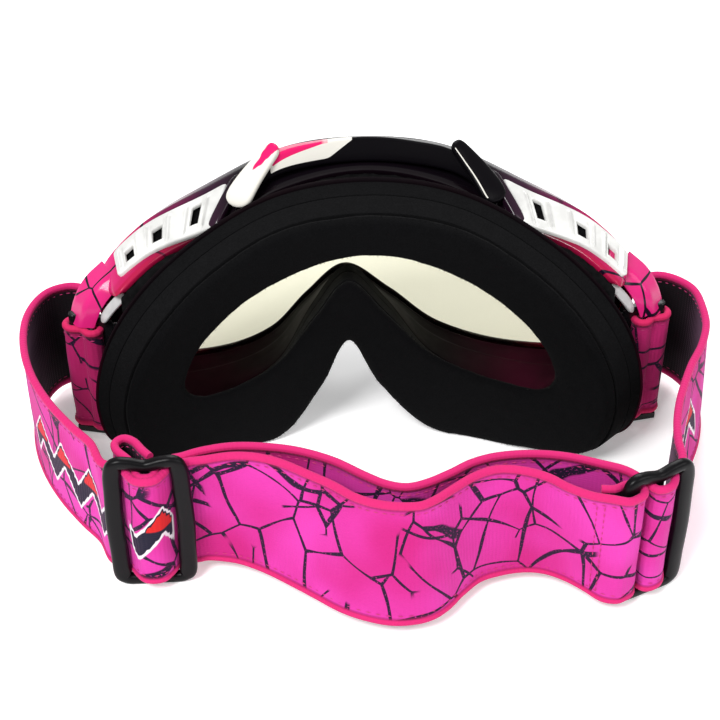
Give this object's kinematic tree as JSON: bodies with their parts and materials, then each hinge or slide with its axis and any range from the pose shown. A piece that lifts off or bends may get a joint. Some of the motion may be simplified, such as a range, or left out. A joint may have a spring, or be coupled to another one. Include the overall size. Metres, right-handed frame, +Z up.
{
  "type": "sports protective goggles",
  "caption": "Wrap-round protective sports goggles: moulded frame, clear lens, layered face foam, hinged strap arms and an elastic strap with sliding buckles.",
  "frame": {"origin": "middle of the whole object's box in plan, on the surface that the foam and the sliders stand on", "axes": "+X to the wearer's right as seen from the face side (the width of the goggles and of the strap), +Y out through the lens, +Z up towards the brow"},
  "size_m": [0.2109, 0.1342, 0.0872],
  "materials": {
    "frame": "high gloss, black through purple to pink",
    "lens": "clear with a faint yellow-green tint",
    "lens_pin": "gloss",
    "brow": "gloss, with white and pink bands",
    "grille": "white gloss",
    "vent_foam": "coarse open-cell foam",
    "face_foam": "fine closed-cell foam",
    "fleece": "brushed fleece",
    "arm": "white and pink gloss",
    "hinge_pin": "plain ground steel",
    "strap": "woven elastic, printed",
    "slider": "satin black"
  },
  "bodies": {
    "root": {"frame": "frame", "lens": "lens", "lens_pin_left": "lens_pin", "lens_pin_right": "lens_pin", "brow_guard": "brow", "vent_grille_left": "grille", "vent_grille_right": "grille", "vent_foam_top": "vent_foam", "vent_foam_upper_left": "vent_foam", "vent_foam_upper_right": "vent_foam", "vent_foam_lower_left": "vent_foam", "vent_foam_lower_right": "vent_foam", "foam_base": "face_foam", "foam_core": "face_foam", "foam_fleece": "fleece", "arm_pin_left": "hinge_pin", "arm_pin_right": "hinge_pin", "strap_left": "strap", "strap_right": "strap"},
    "arm_left": {"strap_arm_left": "arm", "strap_end_left": "strap"},
    "arm_right": {"strap_arm_right": "arm", "strap_end_right": "strap"},
    "slider_left": {"slider_left": "slider"},
    "slider_right": {"slider_right": "slider"}
  },
  "joints": [
    {"name": "arm_left_hinge", "type": "hinge", "parent": "root", "child": "arm_left", "pos_m": [-0.0705, 0.0195, 0], "axis": [0, 0, 1], "range_deg": [-7, 4], "deforming": ["strap_left"]},
    {"name": "arm_right_hinge", "type": "hinge", "parent": "root", "child": "arm_right", "pos_m": [0.0705, 0.0195, 0], "axis": [0, 0, -1], "range_deg": [-7, 4], "deforming": ["strap_right"]},
    {"name": "slider_left_slide", "type": "slide", "parent": "root", "child": "slider_left", "axis": [0.9994, 0.0349, 0], "range_m": [-0.008, 0.012], "deforming": ["strap_left", "strap_right"]},
    {"name": "slider_right_slide", "type": "slide", "parent": "root", "child": "slider_right", "axis": [0.9063, 0.4226, 0], "range_m": [-0.008, 0.006], "deforming": ["strap_left", "strap_right"]}
  ]
}
